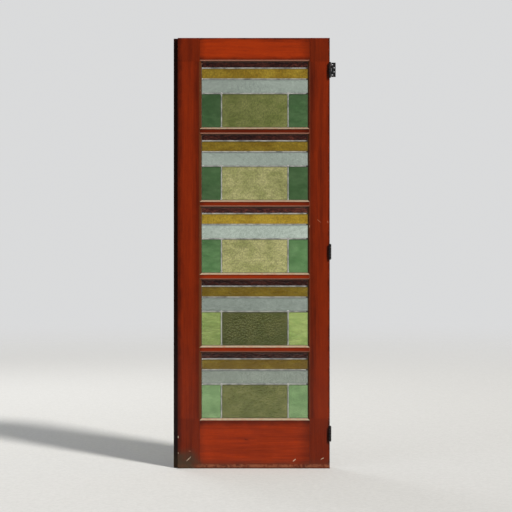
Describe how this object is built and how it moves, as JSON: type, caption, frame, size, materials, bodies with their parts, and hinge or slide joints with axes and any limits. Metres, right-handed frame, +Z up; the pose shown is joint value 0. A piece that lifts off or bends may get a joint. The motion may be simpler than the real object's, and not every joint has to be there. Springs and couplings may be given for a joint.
{
  "type": "leaded glass front door",
  "caption": "Narrow framed timber front door with leaded coloured glass lights between glazing bars, a rebated meeting edge and butt hinges on the other edge.",
  "frame": {"origin": "centre of the face of the middle hinge's free leaf that is screwed to the door frame, with that leaf closed", "axes": "+X across the door from the meeting edge to the hinge edge and out of the hinge leaf's face, +Y through the door from the moulded front to the beaded back, +Z up"},
  "size_m": [0.7908, 0.0577, 2.1],
  "materials": {
    "varnished_wood": "old red-brown gloss varnish over straight-grained timber, worn and dirty at the foot",
    "glazing_bead": "the same red-brown varnish, duller",
    "lead": "dull weathered lead with tinned solder joints",
    "hinge_metal": "dark oxidised steel with worn paint",
    "screw_metal": "dull slotted steel screws",
    "purple_glass": "dark purple hammered glass",
    "amber_glass": "amber hammered glass",
    "white_glass": "pale obscure glass",
    "green_glass": "green hammered glass",
    "olive_glass": "pale olive hammered glass"
  },
  "bodies": {
    "door": {"stile_closing": "varnished_wood", "stile_hinge": "varnished_wood", "rail_top": "varnished_wood", "rail_bottom": "varnished_wood", "glazing_bar_1": "varnished_wood", "glazing_bar_2": "varnished_wood", "glazing_bar_3": "varnished_wood", "glazing_bar_4": "varnished_wood", "bead_1": "glazing_bead", "bead_2": "glazing_bead", "bead_3": "glazing_bead", "bead_4": "glazing_bead", "bead_5": "glazing_bead", "came_1": "lead", "came_2": "lead", "came_3": "lead", "came_4": "lead", "came_5": "lead", "glass_1_purple": "purple_glass", "glass_1_amber": "amber_glass", "glass_1_white": "white_glass", "glass_1_green_left": "green_glass", "glass_1_centre": "olive_glass", "glass_1_green_right": "green_glass", "glass_2_purple": "purple_glass", "glass_2_amber": "amber_glass", "glass_2_white": "white_glass", "glass_2_green_left": "green_glass", "glass_2_centre": "olive_glass", "glass_2_green_right": "green_glass", "glass_3_purple": "purple_glass", "glass_3_amber": "amber_glass", "glass_3_white": "white_glass", "glass_3_green_left": "green_glass", "glass_3_centre": "olive_glass", "glass_3_green_right": "green_glass", "glass_4_purple": "purple_glass", "glass_4_amber": "amber_glass", "glass_4_white": "white_glass", "glass_4_green_left": "green_glass", "glass_4_centre": "olive_glass", "glass_4_green_right": "green_glass", "glass_5_purple": "purple_glass", "glass_5_amber": "amber_glass", "glass_5_white": "white_glass", "glass_5_green_left": "green_glass", "glass_5_centre": "olive_glass", "glass_5_green_right": "green_glass", "hinge_top_door_leaf": "hinge_metal", "hinge_top_pin": "hinge_metal", "hinge_middle_door_leaf": "hinge_metal", "hinge_middle_pin": "hinge_metal", "hinge_bottom_door_leaf": "hinge_metal", "hinge_bottom_pin": "hinge_metal"},
    "leaf_top": {"hinge_top_free_leaf": "hinge_metal"},
    "leaf_middle": {"hinge_middle_free_leaf": "hinge_metal"},
    "leaf_bottom": {"hinge_bottom_free_leaf": "hinge_metal"}
  },
  "joints": [
    {"name": "hinge_top", "type": "hinge", "parent": "door", "child": "leaf_top", "pos_m": [-0.00295, -0.017, 0.886], "axis": [0, 0, -1], "range_deg": [-90, 90]},
    {"name": "hinge_middle", "type": "hinge", "parent": "door", "child": "leaf_middle", "pos_m": [-0.00295, -0.017, 0], "axis": [0, 0, -1], "range_deg": [0, 180]},
    {"name": "hinge_bottom", "type": "hinge", "parent": "door", "child": "leaf_bottom", "pos_m": [-0.00295, -0.017, -0.886], "axis": [0, 0, -1], "range_deg": [0, 180]}
  ]
}
